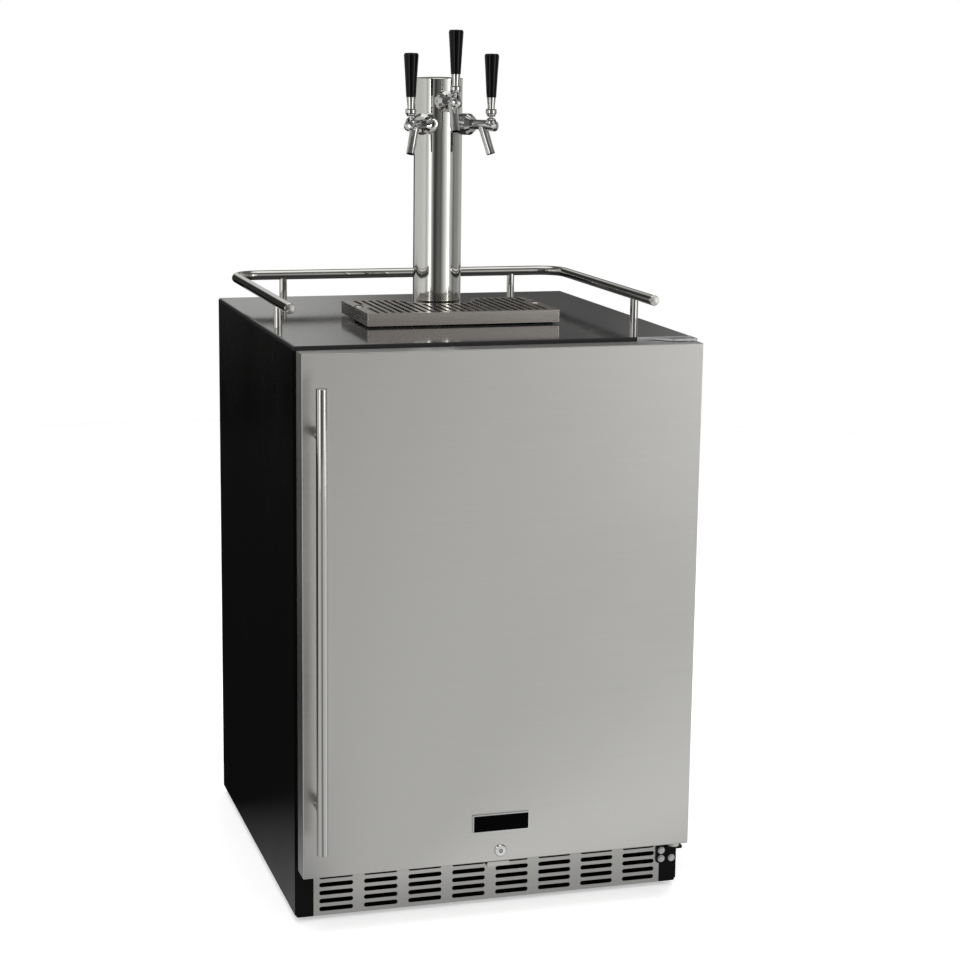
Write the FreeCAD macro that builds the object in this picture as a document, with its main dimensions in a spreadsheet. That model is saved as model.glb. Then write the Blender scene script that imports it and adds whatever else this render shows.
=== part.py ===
import FreeCAD, Part
# Three-tap kegerator: an upright beer fridge with a tap tower, a drip tray and a guard rail on its
# top. Millimetres, +Z up, the door towards -Y. The origin is the middle of the footprint, on the
# floor.
import math
import os
from types import SimpleNamespace

import Sketcher
from FreeCAD import Placement, Rotation, Vector

SIZES = dict(
    # cabinet
    cabinet_width=606, front_face=-250, rear_face=360, cabinet_base=8, cabinet_top=866,
    steel=1.5, top_thickness=6, top_roll=4.5, corner_round=4,
    # insulated space
    cavity_width=512, cavity_floor=112, cavity_ceiling=813, cavity_rear=312, liner_wall=2,
    step_front=170, step_top=345, foam_floor=78, bay_front=202, bay_top=313,
    tower_hole=33, floor_plate=2, floor_plate_inset=6,
    # vent grille and back
    vent_half=275, vent_pitch=68.6, vent_length=52, vent_slot=7,
    vent_first=18.1, vent_row_pitch=12.6, vent_top=78, louvre_pitch=16, louvre_length=150,
    # door
    door_half=301, door_front=-301, door_rear=-265, door_bottom=87.5, door_top=861.5,
    skin=1.2, skin_round=1.5, gasket_outer=280, gasket_inner=262, gasket_low=90, gasket_high=838,
    gasket_gap=0.4, liner_raise=12, liner_raise_half=240,
    # handle, nameplate and lock
    handle_x=-283, handle_bore=8.5, handle_stand=50.5, handle_low=142.2, handle_high=820.2,
    handle_post=5.5, handle_inset=68, plate_half=44, plate_low=135, plate_high=163, plate_rim=1.6,
    plate_depth=2.4, lock_height=104.4, lock_ring=9.5, lock_plug=5.4, cam_reach=24.5,
    # hinge
    hinge_x=288, hinge_y=-274, hinge_pin=4, leaf=3, ear=9, top_ear=6, hinge_gap=1,
    low_leaf_top=76, low_plate_left=269, low_plate_bottom=40, strike_half=17.5,
    strike_low=76.5, strike_lip=83.5, strike_front=-292,
    # guard rail
    rail_x=284, rail_front=-138, rail_rear=330, rail_height=40, rail_tube=8, rail_bend=40,
    rail_wall=1.2, post_tube=6.35, front_post_y=-52, rear_post_x=199,
    # tower
    tower_y=86, tower_radius=38, tower_wall=1.5, tower_top=1233.3, cap_rise=4, flange_radius=44,
    flange_height=3, splay=40, low_tap=1165.8, high_tap=1201,
    # drip tray
    tray_half=152.4, tray_front=-79, tray_rear=99, tray_top=888, tray_pad=3, tray_wall=1.2,
    notch=53, notch_rear_half=67, notch_flare_y=70, tray_slot=6, tray_pitch=12.1,
    tray_margin=8, finger_hole=5.5, finger_x=143, finger_y=18,
    # feet
    foot_x=262, front_foot_y=-212, rear_foot_y=322, foot_radius=16, foot_height=6, stud=5,
    fit_gap=0.05,
)

os.makedirs("parts", exist_ok=True)
doc = FreeCAD.newDocument("kegerator")
sheet = doc.addObject("Spreadsheet::Sheet", "Sizes")
for row, (alias, number) in enumerate(SIZES.items(), start=1):
    sheet.set(f"A{row}", alias)
    sheet.set(f"B{row}", str(number))
    sheet.setAlias(f"B{row}", alias)
doc.recompute()


class Size:
    """A number read from the sheet, with the formula that the document keeps for it."""

    def __init__(self, number, formula):
        self.number = number
        self.formula = formula

    def __add__(self, other):
        return Size(self.number + number(other), f"({self.formula} + {formula(other)})")

    def __sub__(self, other):
        return Size(self.number - number(other), f"({self.formula} - {formula(other)})")

    def __mul__(self, factor):
        return Size(self.number * number(factor), f"({self.formula} * {formula(factor)})")

    def __truediv__(self, divisor):
        return Size(self.number / number(divisor), f"({self.formula} / {formula(divisor)})")

    __rmul__ = __mul__

    def __radd__(self, other):
        return Size(number(other), formula(other)) + self

    def __rsub__(self, other):
        return Size(number(other), formula(other)) - self

    def __neg__(self):
        return self * -1


def number(value):
    return value.number if isinstance(value, Size) else value


def formula(value):
    return value.formula if isinstance(value, Size) else f"({value:.6f})"


D = SimpleNamespace(**{alias: Size(float(sheet.get(alias)), f"Sizes.{alias}") for alias in SIZES})
HALF = D.cabinet_width / 2
NODES = {}


# ---------------------------------------------------------------- building blocks

def bind(thing, prop, value):
    thing.setExpression(prop, formula(value))


def piece(node, thing):
    """Make this object the finished sub-part called node."""
    thing.Label = node
    NODES[node] = thing
    return thing


def box(x, y, z):
    solid = doc.addObject("Part::Box", "block")
    for prop, axis, (low, high) in (("Length", "x", x), ("Width", "y", y), ("Height", "z", z)):
        bind(solid, prop, high - low)
        bind(solid, f"Placement.Base.{axis}", low)
    return solid


TURN = {"x": Rotation(Vector(0, 1, 0), 90), "y": Rotation(Vector(1, 0, 0), -90), "z": Rotation()}


def rod(radius, axis, span, centre):
    """A cylinder along an axis from span[0] to span[1]; centre gives the other two coordinates."""
    solid = doc.addObject("Part::Cylinder", "rod")
    bind(solid, "Radius", radius)
    bind(solid, "Height", span[1] - span[0])
    solid.Placement.Rotation = TURN[axis]
    others = iter(centre)
    for letter in "xyz":
        bind(solid, f"Placement.Base.{letter}", span[0] if letter == axis else next(others))
    return solid


def ball(radius, x, y, z):
    solid = doc.addObject("Part::Sphere", "ball")
    bind(solid, "Radius", radius)
    for letter, value in zip("xyz", (x, y, z)):
        bind(solid, f"Placement.Base.{letter}", value)
    return solid


def fuse(*shapes):
    joined = doc.addObject("Part::MultiFuse", "joined")
    joined.Shapes = list(shapes)
    return joined


def group(*shapes):
    """Several separate solids of one kind in one sub-part."""
    together = doc.addObject("Part::Compound", "group")
    together.Links = list(shapes)
    return together


def cut(base, *tools):
    result = doc.addObject("Part::Cut", "trimmed")
    result.Base = base
    result.Tool = tools[0] if len(tools) == 1 else fuse(*tools)
    return result


def new_sketch(body, plane, offset=0):
    """A sketch on one of the body's own planes, moved along that plane's normal."""
    sketch = body.newObject("Sketcher::SketchObject", "outline")
    origin_plane = next(item for item in body.Origin.OriginFeatures if item.Role == plane)
    sketch.AttachmentSupport = (origin_plane, [""])
    sketch.MapMode = "FlatFace"
    bind(sketch, "AttachmentOffset.Base.z", offset)
    return sketch


def pin_point(sketch, element, point, x, y):
    """Hold one point of a sketch element at x, y from the sketch's origin."""
    for kind, value in (("DistanceX", x), ("DistanceY", y)):
        index = sketch.addConstraint(
            Sketcher.Constraint(kind, -1, 1, element, point, float(number(value))))
        bind(sketch, f"Constraints[{index}]", value)


def polygon(sketch, points):
    """A closed outline of straight lines through the given points."""
    first = sketch.GeometryCount
    corners = [Vector(number(x), number(y), 0) for x, y in points]
    for start, end in zip(corners, corners[1:] + corners[:1]):
        sketch.addGeometry(Part.LineSegment(start, end), False)
    for index in range(len(points)):
        following = (index + 1) % len(points)
        sketch.addConstraint(
            Sketcher.Constraint("Coincident", first + index, 2, first + following, 1))
    for index, (x, y) in enumerate(points):
        pin_point(sketch, first + index, 1, x, y)


def rectangle(sketch, x, y):
    polygon(sketch, [(x[0], y[0]), (x[1], y[0]), (x[1], y[1]), (x[0], y[1])])


def circle(sketch, x, y, radius):
    index = sketch.addGeometry(
        Part.Circle(Vector(number(x), number(y), 0), Vector(0, 0, 1), number(radius)), False)
    pin_point(sketch, index, 3, x, y)
    held = sketch.addConstraint(Sketcher.Constraint("Radius", index, float(number(radius))))
    bind(sketch, f"Constraints[{held}]", radius)


def new_body():
    return doc.addObject("PartDesign::Body", "body")


def pad(body, sketch, length, backwards=False):
    feature = body.newObject("PartDesign::Pad", "pad")
    feature.Profile = sketch
    bind(feature, "Length", length)
    feature.Reversed = backwards
    return feature


def pocket(body, sketch, length, backwards=False):
    feature = body.newObject("PartDesign::Pocket", "pocket")
    feature.Profile = sketch
    bind(feature, "Length", length)
    feature.Reversed = backwards
    return feature


def edges_where(shape, test):
    return [f"Edge{i}" for i, edge in enumerate(shape.Edges, start=1) if test(edge)]


def fillet(body, radius, test):
    """Round the edges of the body's last feature that pass the test."""
    doc.recompute()
    base = body.Tip
    feature = body.newObject("PartDesign::Fillet", "fillet")
    feature.Base = (base, edges_where(base.Shape, test))
    bind(feature, "Radius", radius)
    return feature


def slab(x, y, z, radius=0, test=None):
    """A block padded upwards from a rectangle, with chosen edges rounded."""
    body = new_body()
    sketch = new_sketch(body, "XY_Plane", z[0])
    rectangle(sketch, x, y)
    pad(body, sketch, z[1] - z[0])
    if test:
        fillet(body, radius, test)
    return body


def extrusion(plane, points, offset, length, backwards=False):
    body = new_body()
    sketch = new_sketch(body, plane, offset)
    polygon(sketch, points)
    pad(body, sketch, length, backwards)
    return body


def turned(points):
    """A round piece: (radius, height) points turned about the Z axis."""
    body = new_body()
    sketch = new_sketch(body, "XZ_Plane")
    polygon(sketch, points)
    feature = body.newObject("PartDesign::Revolution", "turned")
    feature.Profile = sketch
    feature.ReferenceAxis = (sketch, ["V_Axis"])
    feature.Angle = 360
    return body


def move(thing, x=0, y=0, z=0, turn=None):
    """Place a sub-part: the turn is set here, the position follows the sheet."""
    if turn:
        thing.Placement.Rotation = turn
    for letter, value in zip("xyz", (x, y, z)):
        bind(thing, f"Placement.Base.{letter}", value)
    return thing


def along(edge, x, y, z):
    """True for a straight edge that runs along the given direction."""
    if edge.Curve.TypeId != "Part::GeomLine":
        return False
    direction = edge.tangentAt(edge.FirstParameter)
    return abs(direction.dot(Vector(x, y, z))) > 0.999


def near(value, target):
    return abs(value - number(target)) < 0.01


# ---------------------------------------------------------------- cabinet

def cabinet_panels():
    panel_top = D.cabinet_top - D.top_thickness
    depth = (D.front_face, D.rear_face - D.steel)
    for name, x in (("left", (-HALF, D.steel - HALF)), ("right", (HALF - D.steel, HALF))):
        piece(f"side_panel_{name}", box(x, depth, (D.cabinet_base + D.corner_round, panel_top)))

    def rolled(edge):
        middle = edge.CenterOfMass
        return along(edge, 0, 1, 0) and near(middle.z, D.cabinet_top)

    top = slab((-HALF, HALF), (D.front_face, D.rear_face), (panel_top, D.cabinet_top),
               D.top_roll, rolled)
    hole = rod(D.tower_hole, "z", (panel_top - 1, D.cabinet_top + 1), (0, D.tower_y))
    piece("top_panel", cut(top, hole))

    rear_y = (D.rear_face - D.steel, D.rear_face)
    back = new_body()
    outline = new_sketch(back, "XZ_Plane", -rear_y[1])
    rectangle(outline, (-HALF, HALF), (D.cabinet_base + D.corner_round, panel_top))
    pad(back, outline, D.steel)
    doc.recompute()
    louvre = new_sketch(back, "XZ_Plane", -rear_y[1])
    rectangle(louvre, (10, D.louvre_length + 10), (120, 126))
    rectangle(louvre, (30 - D.louvre_length, 10 - 30), (120, 126))
    slots = pocket(back, louvre, D.steel, backwards=True)
    repeat = back.newObject("PartDesign::LinearPattern", "louvres")
    repeat.Originals = [slots]
    repeat.Direction = (louvre, ["V_Axis"])
    repeat.Occurrences = 10
    bind(repeat, "Length", D.louvre_pitch * 9)
    back.Tip = repeat
    inlet_window = box((-241, -204), (rear_y[0] - 1, rear_y[1] + 1), (39, 69))
    piece("rear_panel", cut(back, inlet_window))


def base_frame():
    """A folded steel tray with closed front corners and an open front for the grille."""
    def lower(edge):
        return along(edge, 0, 1, 0) and near(edge.CenterOfMass.z, D.cabinet_base)

    inner = HALF - D.steel
    outer = slab((-inner, inner), (D.front_face, D.rear_face - D.steel),
                 (D.cabinet_base, D.foam_floor), D.corner_round, lower)
    wall = 2
    hollow = box((wall - inner, inner - wall), (D.front_face + wall, D.rear_face - D.steel - wall),
                 (D.cabinet_base + wall, D.foam_floor + 1))
    opening = (-D.vent_half, D.vent_half)
    window = box(opening, (D.front_face - 1, D.front_face + wall + 1),
                 (D.cabinet_base + wall, D.foam_floor + 1))
    rebate = box(opening, (D.front_face - 1, D.front_face + D.skin),
                 (D.cabinet_base - 1, D.cabinet_base + wall))
    holes = [rod(D.stud + D.fit_gap, "z", (0, D.foam_floor), (side * D.foot_x, D.front_foot_y))
             for side in (1, -1)]
    inlet = box((-241, -204), (D.rear_face - 40, D.rear_face), (39, 69))
    piece("base_frame", cut(outer, hollow, window, rebate, inlet, *holes))


def liner_profile(offset):
    """The cavity seen from the side, grown outwards by offset."""
    return [(D.front_face + 2, D.cavity_floor - offset),
            (D.step_front + offset, D.cavity_floor - offset),
            (D.step_front + offset, D.step_top - offset),
            (D.cavity_rear + offset, D.step_top - offset),
            (D.cavity_rear + offset, D.cavity_ceiling + offset),
            (D.front_face + 2, D.cavity_ceiling + offset)]


def insulated_space():
    half = D.cavity_width / 2
    outer_half = half + D.liner_wall
    tower_bore = rod(D.tower_hole, "z", (D.cavity_ceiling - 10, D.cabinet_top),
                     (0, D.tower_y))

    def prism(offset, half_width):
        return extrusion("YZ_Plane", liner_profile(offset), -half_width, half_width * 2)

    piece("inner_liner", cut(prism(D.liner_wall, outer_half), prism(0, half), tower_bore))
    block = box((D.steel - HALF, HALF - D.steel), (D.front_face + 2, D.rear_face - D.steel),
                (D.foam_floor, D.cabinet_top - D.top_thickness))
    bay = box((-HALF, HALF), (D.bay_front, D.rear_face), (D.foam_floor - 1, D.bay_top))
    bore = rod(D.tower_hole, "z", (D.cavity_ceiling - 10, D.cabinet_top), (0, D.tower_y))
    piece("foam_insulation", cut(block, prism(D.liner_wall, outer_half), bay, bore))

    frame = box((D.steel - HALF, HALF - D.steel), (D.front_face, D.front_face + 2),
                (D.foam_floor, D.cabinet_top - D.top_thickness))
    opening = box((-half, half), (D.front_face - 1, D.front_face + 3),
                  (D.cavity_floor, D.cavity_ceiling))
    piece("front_frame", cut(frame, opening))

    inset = D.floor_plate_inset
    piece("keg_floor_plate", slab((inset - half, half - inset), (D.front_face + 10,
          D.step_front - inset), (D.cavity_floor, D.cavity_floor + D.floor_plate), 12,
          lambda edge: along(edge, 0, 0, 1)))


def vent_grille():
    """Stainless grille with eight columns of five round-ended slots."""
    body = new_body()
    face = new_sketch(body, "XZ_Plane", -D.front_face)
    gap = 0.3
    rectangle(face, (gap - D.vent_half, D.vent_half - gap), (D.cabinet_base, D.vent_top))
    pad(body, face, D.skin, backwards=True)
    doc.recompute()
    holes = new_sketch(body, "XZ_Plane", -D.front_face)
    first = D.vent_pitch * -3.5
    half = D.vent_length / 2 - D.vent_slot / 2
    radius = D.vent_slot / 2
    for level in range(5):
        height = D.vent_first + D.vent_row_pitch * level
        long_slot(holes, first - half, first + half, height, radius)
    cutout = pocket(body, holes, D.skin)
    repeat = body.newObject("PartDesign::LinearPattern", "columns")
    repeat.Originals = [cutout]
    repeat.Direction = (holes, ["H_Axis"])
    repeat.Occurrences = 8
    bind(repeat, "Length", D.vent_pitch * 7)
    body.Tip = repeat
    piece("vent_grille", body)


def long_slot(sketch, left, right, height, radius):
    """A slot with round ends: two arcs joined by two tangent lines."""
    first = sketch.GeometryCount
    low, high = number(height) - number(radius), number(height) + number(radius)
    ends = [Part.Circle(Vector(number(x), number(height), 0), Vector(0, 0, 1), number(radius))
            for x in (left, right)]
    quarter = math.pi / 2
    sketch.addGeometry([
        Part.ArcOfCircle(ends[0], quarter, 3 * quarter),
        Part.LineSegment(Vector(number(left), low, 0), Vector(number(right), low, 0)),
        Part.ArcOfCircle(ends[1], -quarter, quarter),
        Part.LineSegment(Vector(number(right), high, 0), Vector(number(left), high, 0))], False)
    for one, other in ((0, 1), (1, 2), (2, 3), (3, 0)):
        sketch.addConstraint(
            Sketcher.Constraint("Tangent", first + one, 2, first + other, 1))
    sketch.addConstraint(Sketcher.Constraint("Horizontal", first + 1))
    pin_point(sketch, first, 3, left, height)
    held = sketch.addConstraint(Sketcher.Constraint("Radius", first, float(number(radius))))
    bind(sketch, f"Constraints[{held}]", radius)
    across = sketch.addConstraint(
        Sketcher.Constraint("DistanceX", -1, 1, first + 2, 3, float(number(right))))
    bind(sketch, f"Constraints[{across}]", right)


# ---------------------------------------------------------------- feet

def foot_profile():
    top = D.foot_height
    return [(0, 0), (D.foot_radius - 1.5, 0), (D.foot_radius, 1.5), (D.foot_radius, top - 2),
            (D.foot_radius - 3, top), (D.stud, top), (D.stud, 34), (0, 34)]


def feet():
    for name, side in (("left", -1), ("right", 1)):
        foot = turned(foot_profile())
        piece(f"front_foot_{name}", move(foot, D.foot_x * side, D.front_foot_y))
    pads = [rod(D.foot_radius, "z", (0, D.cabinet_base), (D.foot_x * side, D.rear_foot_y))
            for side in (-1, 1)]
    piece("rear_feet", group(*pads))


# ---------------------------------------------------------------- hinges, lock keeper

def ear_plate(points, z, reach):
    """A flat plate with its free front corners rounded."""
    body = new_body()
    sketch = new_sketch(body, "XY_Plane", z[0])
    polygon(sketch, points)
    pad(body, sketch, z[1] - z[0])
    front = number(D.hinge_y - reach)

    def outer_corner(edge):
        return along(edge, 0, 0, 1) and abs(edge.CenterOfMass.y - front) < 0.01

    fillet(body, 5, outer_corner)
    return body


def hinges():
    top_z = (D.door_top + D.hinge_gap, D.door_top + D.hinge_gap + D.leaf)
    front = D.hinge_y - D.ear
    top_front = D.hinge_y - D.top_ear
    right = HALF - 2
    leaf = ear_plate([(232, D.front_face), (262, top_front), (right, top_front),
                      (right, D.front_face)], top_z, D.top_ear)
    upright = box((215, right), (D.front_face - D.leaf, D.front_face), (842, top_z[1] + 0.5))
    pin = rod(D.hinge_pin, "z", (D.door_top - 13, top_z[1] + 1), (D.hinge_x, D.hinge_y))
    piece("top_hinge", fuse(leaf, upright, pin))

    low_z = (D.low_leaf_top - D.leaf, D.low_leaf_top)
    low_leaf = ear_plate([(D.low_plate_left, D.front_face), (274, front), (right, front),
                          (right, D.front_face)], low_z, D.ear)
    plate = extrusion("XZ_Plane", [(D.low_plate_left, D.low_plate_bottom),
                                   (right, D.low_plate_bottom), (right, low_z[0]),
                                   (right, low_z[1]), (D.low_plate_left, low_z[1])],
                      -D.front_face, D.leaf)
    fillet(plate, 4, lambda edge: along(edge, 0, 1, 0)
           and near(edge.CenterOfMass.z, D.low_plate_bottom))
    low_pin = rod(D.hinge_pin, "z", (low_z[0], D.door_bottom + 13), (D.hinge_x, D.hinge_y))
    piece("bottom_hinge", fuse(low_leaf, plate, low_pin))

    ring = D.hinge_pin + D.fit_gap
    bush_top = D.door_bottom - 0.5
    bush = turned([(ring, D.low_leaf_top), (D.ear, D.low_leaf_top),
                   (D.ear, D.low_leaf_top + 2), (D.ear - 1.8, D.low_leaf_top + 2.6),
                   (D.ear - 1.8, bush_top - 2), (D.ear - 0.8, bush_top - 1.4),
                   (D.ear - 0.8, bush_top), (ring, bush_top)])
    piece("hinge_bushing", move(bush, D.hinge_x, D.hinge_y))

    screws = [hex_screw(x, z) for x, z in ((277, 60.4), (277, 47), (294, 47))]
    screws += [hex_screw(x, 850) for x in (240, 262)]
    piece("hinge_screws", group(*screws))


def hex_screw(x, z):
    """A hexagon head with a pressed washer, standing off the front face."""
    radius = 4.6
    corners = [(x + radius * math.cos(math.radians(60 * k)),
                z + radius * math.sin(math.radians(60 * k))) for k in range(6)]
    head = extrusion("XZ_Plane", corners, D.leaf - D.front_face, 3.2)
    washer = rod(5.6, "y", (D.front_face - D.leaf - 1, D.front_face - D.leaf), (x, z))
    return fuse(head, washer)


def lock_strike():
    """Keeper below the door: a folded tab whose lip stands in front of the lock's cam."""
    half = D.strike_half
    back = D.front_face
    outline = [(back, D.strike_low), (back, 88), (back - 2, 88), (back - 2, D.strike_low + 2),
               (D.strike_front + 2, D.strike_low + 2), (D.strike_front + 2, D.strike_lip),
               (D.strike_front, D.strike_lip), (D.strike_front, D.strike_low)]
    body = extrusion("YZ_Plane", outline, -half, half * 2)
    fillet(body, 2.5, lambda edge: along(edge, 0, 1, 0)
           and near(edge.CenterOfMass.y, D.strike_front + 1)
           and near(edge.CenterOfMass.z, D.strike_lip))
    piece("lock_strike", body)


# ---------------------------------------------------------------- guard rail

def rail_path(body, height):
    """Centre line of the rail: two sides and the rear, joined by tangent bends."""
    path = new_sketch(body, "XY_Plane", height)
    bend = D.rail_bend
    across, along_side = D.rail_x - bend, D.rail_rear - bend
    runs = (((-D.rail_x, D.rail_front), (-D.rail_x, along_side)),
            ((-across, D.rail_rear), (across, D.rail_rear)),
            ((D.rail_x, along_side), (D.rail_x, D.rail_front)))
    for index, ends in enumerate(runs):
        start, end = (Vector(number(x), number(y), 0) for x, y in ends)
        path.addGeometry(Part.LineSegment(start, end), False)
        for point, (x, y) in enumerate(ends, start=1):
            pin_point(path, index, point, x, y)
    for side, first, before, after in ((-1, 90, 0, 1), (1, 0, 1, 2)):
        centre = Vector(side * number(across), number(along_side), 0)
        circle_of_bend = Part.Circle(centre, Vector(0, 0, 1), number(bend))
        start = math.radians(first)
        arc = path.addGeometry(Part.ArcOfCircle(circle_of_bend, start, start + math.pi / 2), False)
        path.addConstraint(Sketcher.Constraint("Coincident", arc, 2, before, 2))
        path.addConstraint(Sketcher.Constraint("Coincident", arc, 1, after, 1))
        held = path.addConstraint(
            Sketcher.Constraint("DistanceX", -1, 1, arc, 3, side * number(across)))
        bind(path, f"Constraints[{held}]", across * side)
    return path


def guard_rail():
    height = D.cabinet_top + D.rail_height

    rail = new_body()
    path = rail_path(rail, height)
    ring = new_sketch(rail, "XZ_Plane", -D.rail_front)
    circle(ring, -D.rail_x, height, D.rail_tube)
    circle(ring, -D.rail_x, height, D.rail_tube - D.rail_wall)
    sweep = rail.newObject("PartDesign::AdditivePipe", "tube")
    sweep.Profile = ring
    sweep.Spine = (path, [f"Edge{i}" for i in range(1, 6)])
    piece("rail_tube", rail)

    posts = []
    for side in (-1, 1):
        front = rod(D.post_tube, "z", (D.cabinet_top, height), (D.rail_x * side, D.front_post_y))
        rear = rod(D.post_tube, "z", (D.cabinet_top, height), (D.rear_post_x * side, D.rail_rear))
        saddle = rod(D.rail_tube, "y", (D.front_post_y - 12, D.front_post_y + 12),
                     (D.rail_x * side, height))
        rear_saddle = rod(D.rail_tube, "x", (D.rear_post_x * side - 12, D.rear_post_x * side + 12),
                          (D.rail_rear, height))
        posts += [cut(front, saddle), cut(rear, rear_saddle)]
    piece("rail_posts", group(*posts))

    caps = []
    for side in (-1, 1):
        plug = turned([(0, -8), (D.rail_tube - D.rail_wall - D.fit_gap, -8),
                       (D.rail_tube - D.rail_wall - D.fit_gap, 0), (D.rail_tube, 0),
                       (D.rail_tube, 0.6), (D.rail_tube - 0.9, 1.8), (0, 2.4)])
        caps.append(move(plug, D.rail_x * side, D.rail_front, height,
                         Rotation(Vector(1, 0, 0), 90)))
    piece("rail_end_caps", group(*caps))


# ---------------------------------------------------------------- tower and taps

TAPS = (("left", -1, D.low_tap), ("center", 0, D.high_tap), ("right", 1, D.low_tap))
PIVOT_OUT, PIVOT_UP = 99.5, 4
SHAFT_DROP = -2
SPOUT_TOP, SPOUT_TIP = (84, -2), (100, -44)


def tap_turn(side):
    """Turns local +X to the tap's outward direction."""
    return Rotation(Vector(0, 0, 1), -90 + side * number(D.splay))


def place_tap(thing, side, height, out=0, up=0, turn=Rotation()):
    """Place a tap's part: out and up are measured from the tower's axis and the tap's centre."""
    spin = tap_turn(side)
    shift = spin.multVec(Vector(out, 0, up))
    return move(thing, shift.x, D.tower_y + shift.y, height + shift.z, spin.multiply(turn))


def tower():
    inner = D.tower_radius - D.tower_wall
    tube = rod(D.tower_radius, "z", (D.cabinet_top, D.tower_top), (0, D.tower_y))
    bore = rod(inner, "z", (D.cabinet_top - 1, D.tower_top + 1), (0, D.tower_y))
    holes = []
    for _, side, height in TAPS:
        hole = turned([(0, 25), (11.2, 25), (11.2, 45), (0, 45)])
        holes.append(place_tap(hole, side, height, turn=TURN["x"]))
    piece("tower_column", cut(tube, bore, *holes))

    skirt = inner - 0.1
    cap = turned([(skirt - 2, -12), (skirt, -12), (skirt, 0), (D.tower_radius + 0.6, 0),
                  (D.tower_radius + 0.6, 1.6), (D.tower_radius - 1, 2.6), (26, D.cap_rise - 0.7),
                  (12, D.cap_rise - 0.1), (0, D.cap_rise), (0, 1.5), (skirt - 2, 1.5)])
    piece("tower_cap", move(cap, 0, D.tower_y, D.tower_top))

    ring = D.tower_radius + 0.1
    flange = turned([(ring, 0), (D.flange_radius, 0), (D.flange_radius, D.flange_height - 2.5),
                     (D.flange_radius - 2.5, D.flange_height - 0.8), (ring, D.flange_height)])
    piece("tower_flange", move(flange, 0, D.tower_y, D.cabinet_top))


def shanks_and_nuts():
    shanks, nuts = [], []
    for _, side, height in TAPS:
        flange = cut(rod(15.5, "x", (30, 44), (0, 0)), rod(D.tower_radius + 0.1, "z", (-30, 30),
                                                           (0, 0)))
        stem = fuse(rod(11, "x", (18, 60), (0, 0)), rod(14, "x", (24, 32), (0, 0)), flange,
                    rod(5, "z", (-22, 5), (16, 0)))
        shank = cut(stem, rod(2.5, "x", (16, 53), (0, 0)), rod(2.5, "z", (-23, 0), (16, 0)),
                    rod(5.6, "x", (52, 61), (0, 0)))
        shanks.append(place_tap(shank, side, height))

        nut = turned([(11.15, 44.3), (15, 44.3), (16.5, 46), (16.5, 60), (12, 66), (7.7, 66),
                      (7.7, 60.5), (11.15, 60.5)])
        drilled = cut(nut, rod(2.2, "y", (-20, 20), (0, 53)))
        nuts.append(place_tap(drilled, side, height, turn=TURN["x"]))
    piece("faucet_shanks", group(*shanks))
    piece("coupling_nuts", group(*nuts))


def faucets():
    run = Vector(SPOUT_TIP[0] - SPOUT_TOP[0], 0, SPOUT_TIP[1] - SPOUT_TOP[1])
    lean = Rotation(Vector(0, 0, 1), run)
    length = run.Length
    for name, side, height in TAPS:
        barrel = rod(7.5, "x", (60.6, 100), (0, 0))
        head = ball(8.2, PIVOT_OUT, 0, PIVOT_UP)
        nose = turned([(0, -6), (8.2, -6), (8.2, 6), (7.6, 9), (4.5, 11.4), (0, 12)])
        move(nose, PIVOT_OUT, 0, -1, Rotation(Vector(0, 1, 0), 96))
        spout = cut(turned([(0, 0), (7.2, 0), (7, 14), (6.6, length - 10), (6.75, length),
                            (0, length)]),
                    rod(4.6, "z", (length - 26, length + 1), (0, 0)))
        move(spout, SPOUT_TOP[0], 0, SPOUT_TOP[1], lean)
        housing = fuse(barrel, head, nose)
        piece(f"faucet_spout_{name}", place_tap(cut(spout, housing), side, height))
        room = [ball(3.9, PIVOT_OUT, 0, PIVOT_UP),
                box((PIVOT_OUT - 2.9, PIVOT_OUT + 13), (-2.9, 2.9), (PIVOT_UP, PIVOT_UP + 12)),
                rod(2.5, "x", (60, PIVOT_OUT + 4.5), (0, SHAFT_DROP)),
                box((PIVOT_OUT - 6, PIVOT_OUT + 3.2), (-2.5, 2.5), (SHAFT_DROP - 1.7, PIVOT_UP))]
        piece(f"faucet_body_{name}", place_tap(cut(housing, *room), side, height))

        shaft = cut(rod(2.2, "x", (61, PIVOT_OUT + 3.8), (0, SHAFT_DROP)),
                    box((PIVOT_OUT - 2, PIVOT_OUT + 2.8), (-3, 3), (SHAFT_DROP - 1.6, 5)))
        piece(f"valve_shaft_{name}", place_tap(shaft, side, height))

        stem = turned([(0, 0), (2.4, 0), (2.4, 8.8), (5.5, 8.8), (6.9, 11), (7.3, 12.6), (8, 12.9),
                       (8.6, 14.2), (8.6, 18.8), (8, 20.1), (5.8, 20.5), (5.6, 25), (7, 38),
                       (3, 38), (3, 50), (0, 50)])
        reach = SHAFT_DROP - PIVOT_UP + 0.3
        lever = fuse(stem, ball(3.6, 0, 0, 0), rod(1.2, "z", (reach, 0), (0, 0)),
                     ball(1.4, 0, 0, reach))
        piece(f"lever_{name}", place_tap(lever, side, height, PIVOT_OUT, PIVOT_UP))

        grip = turned([(3.05, 42), (7.3, 42), (7.6, 43), (9.6, 78), (11.3, 104), (10.9, 106.6),
                       (9.4, 108), (0, 108.5), (0, 54.5), (3.05, 54.5)])
        piece(f"tap_handle_{name}", place_tap(grip, side, height, PIVOT_OUT))


# ---------------------------------------------------------------- beer lines

LINE_RADIUS = 4
LINE_CLIP_X = -248
LINE_LEVELS = {"left": 785, "center": 770, "right": 755}
LINE_BEND = 45


def line_start(side, height):
    """Bottom of the shank's elbow, inside the tower."""
    start = tap_turn(side).multVec(Vector(16, 0, 0))
    return Vector(start.x, start.y + number(D.tower_y), number(height) - 22)


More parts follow.
